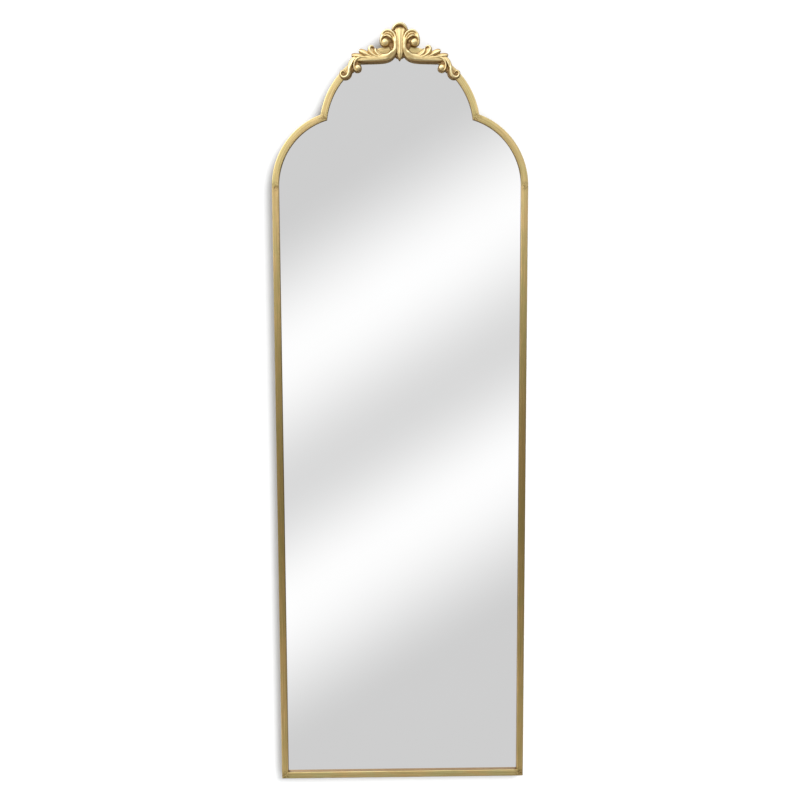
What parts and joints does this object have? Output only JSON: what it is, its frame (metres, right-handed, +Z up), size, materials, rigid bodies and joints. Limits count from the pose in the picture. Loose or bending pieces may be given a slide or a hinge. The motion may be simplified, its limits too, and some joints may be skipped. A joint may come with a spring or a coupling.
{
  "type": "full-length mirror",
  "caption": "Full-length mirror with a stepped, arched metal frame, a cast scroll crest at its crown, flat silvered glass and a board back with ring hangers.",
  "frame": {"origin": "middle of the bottom rail's underside, halfway through the frame's 20 mm depth", "axes": "+X to the viewer's right, +Y from the viewer back into the wall, +Z up"},
  "size_m": [0.56, 0.0402, 1.7027],
  "materials": {
    "frame_gold": "brushed steel tube, plated and lacquered antique gold",
    "crest_gold": "cast alloy, bright antique gold with darker wax left in the grooves",
    "mirror_glass": "silvered float glass, plain ground edge",
    "backing_film": "self-adhesive safety film",
    "foam_tape": "double-sided foam tape",
    "back_board": "bare medium-density fibreboard",
    "rubber": "matt black rubber",
    "plated_steel": "bright zinc plating"
  },
  "bodies": {
    "frame": {"bottom_rail": "frame_gold", "left_stile": "frame_gold", "right_stile": "frame_gold", "left_shoulder": "frame_gold", "right_shoulder": "frame_gold", "top_arch": "frame_gold", "crest_bracket": "frame_gold", "crest_casting": "crest_gold", "mirror_glass": "mirror_glass", "safety_film": "backing_film", "mounting_tape": "foam_tape", "back_board": "back_board", "setting_blocks": "rubber", "wall_bumpers": "rubber", "retaining_tabs": "plated_steel", "left_hanger_strap": "plated_steel", "right_hanger_strap": "plated_steel", "hanger_screws": "plated_steel", "crest_screws": "plated_steel"},
    "left_ring": {"left_hanger_ring": "plated_steel"},
    "right_ring": {"right_hanger_ring": "plated_steel"}
  },
  "joints": [
    {"name": "left_ring_swing", "type": "hinge", "parent": "frame", "child": "left_ring", "pos_m": [-0.19, 0.01048, 1.4], "axis": [1, 0, 0], "range_deg": [0, 175]},
    {"name": "right_ring_swing", "type": "hinge", "parent": "frame", "child": "right_ring", "pos_m": [0.19, 0.01048, 1.4], "axis": [1, 0, 0], "range_deg": [0, 175]}
  ]
}
